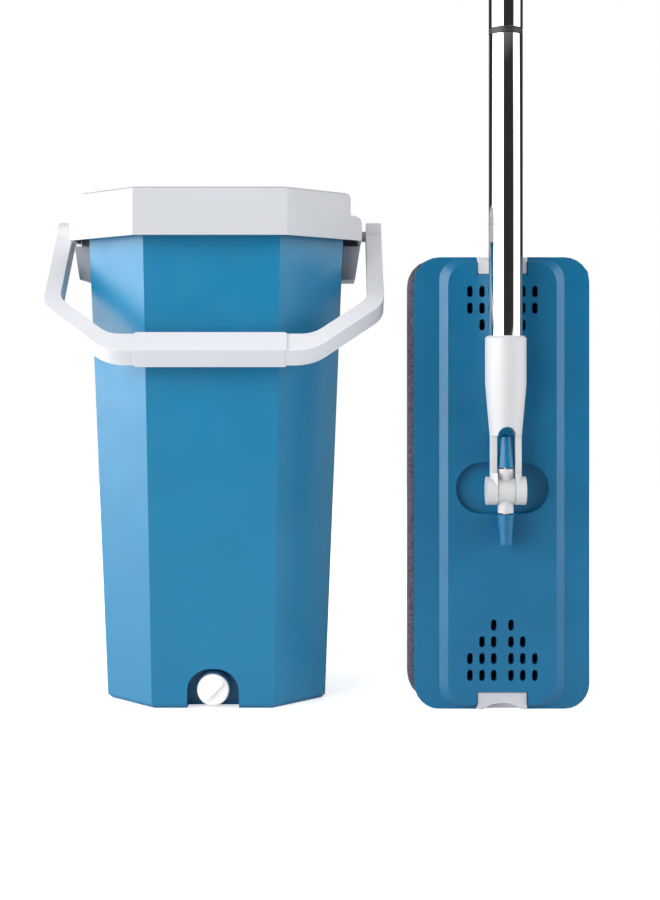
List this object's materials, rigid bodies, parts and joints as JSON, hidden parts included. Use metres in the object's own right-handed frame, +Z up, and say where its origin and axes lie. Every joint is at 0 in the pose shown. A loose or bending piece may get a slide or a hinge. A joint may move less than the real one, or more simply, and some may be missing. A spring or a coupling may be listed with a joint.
{
  "type": "flat mop and wringer bucket",
  "caption": "Tapered octagonal bucket with a carrying bail and a lift-off wringer lid, beside a flat mop standing on end with its pole folded up.",
  "frame": {"origin": "on the floor, under the middle of the box round the pair", "axes": "+Z up along the mop's pole, -Y the front of both pieces, +X from the bucket to the mop"},
  "size_m": [0.399, 0.2136, 1.3074],
  "materials": {
    "bucket_blue": "satin moulded polypropylene",
    "plate_blue": "satin moulded plastic",
    "light_grey": "satin moulded plastic",
    "white_plastic": "satin moulded plastic",
    "chrome_tube": "polished stainless tube",
    "black_plastic": "matt",
    "black_rubber": "matt",
    "steel": "drawn wire",
    "hook_tape": "hook tape",
    "microfibre": "grey looped microfibre"
  },
  "bodies": {
    "bucket": {"bucket_body": "bucket_blue", "handle_bracket_left": "light_grey", "handle_bracket_right": "light_grey"},
    "bail": {"bail_handle": "light_grey"},
    "plug": {"drain_plug": "white_plastic", "plug_seal": "black_rubber"},
    "lid": {"wringer_lid": "light_grey", "wringer_frame": "light_grey", "roller_axle_left": "steel", "roller_axle_right": "steel", "frame_screw_front_left": "steel", "frame_screw_front_right": "steel", "frame_screw_rear_left": "steel", "frame_screw_rear_right": "steel", "scraper_spring_left": "steel", "scraper_spring_right": "steel"},
    "scraper": {"scraper_carriage": "light_grey", "scraper_blade": "black_rubber"},
    "roller_left": {"guide_roller_left": "white_plastic"},
    "roller_right": {"guide_roller_right": "white_plastic"},
    "mop_head": {"mop_plate": "plate_blue", "end_insert_lower": "light_grey", "end_insert_upper": "light_grey", "hook_strip_left": "hook_tape", "hook_strip_right": "hook_tape", "mop_pad": "microfibre", "hinge_pin_lower": "steel", "hinge_pin_upper": "steel"},
    "knuckle": {"joint_knuckle": "white_plastic"},
    "pole": {"pole_socket": "white_plastic", "cross_pin": "steel", "pole_section_1": "chrome_tube", "pole_section_2": "chrome_tube", "pole_section_3": "chrome_tube", "pole_section_4": "chrome_tube", "pole_joiner_1": "black_plastic", "pole_joiner_2": "black_plastic", "pole_joiner_3": "black_plastic", "pole_grip": "black_plastic", "end_cap": "light_grey"}
  },
  "joints": [
    {"name": "bail_swing", "type": "hinge", "parent": "bucket", "child": "bail", "pos_m": [-0.076, 0.006, 0.3455], "axis": [-1, 0, 0], "range_deg": [0, 264]},
    {"name": "plug_pull", "type": "slide", "parent": "bucket", "child": "plug", "axis": [0, -1, 0], "range_m": [0, 0.025]},
    {"name": "lid_lift", "type": "slide", "parent": "bucket", "child": "lid", "axis": [0, 0, 1], "range_m": [0, 0.075]},
    {"name": "scraper_slide", "type": "slide", "parent": "lid", "child": "scraper", "axis": [0, -1, 0], "range_m": [0, 0.004], "stiffness_N_per_m": 500, "springref_m": -0.003, "deforming": ["scraper_spring_left", "scraper_spring_right"]},
    {"name": "roller_left_spin", "type": "hinge", "parent": "lid", "child": "roller_left", "pos_m": [-0.12385, 0.0505, 0.3347], "axis": [1, 0, 0], "continuous": true},
    {"name": "roller_right_spin", "type": "hinge", "parent": "lid", "child": "roller_right", "pos_m": [-0.02815, 0.0505, 0.3347], "axis": [1, 0, 0], "continuous": true},
    {"name": "mop_lift", "type": "slide", "parent": "bucket", "child": "mop_head", "axis": [0, 0, 1], "range_m": [0, 0.3]},
    {"name": "joint_tilt", "type": "hinge", "parent": "mop_head", "child": "knuckle", "pos_m": [0.132, -0.0915, 0.159], "axis": [0, 0, 1], "range_deg": [-40, 40]},
    {"name": "pole_fold", "type": "hinge", "parent": "knuckle", "child": "pole", "pos_m": [0.132, -0.0915, 0.159], "axis": [1, 0, 0], "range_deg": [0, 180]}
  ]
}
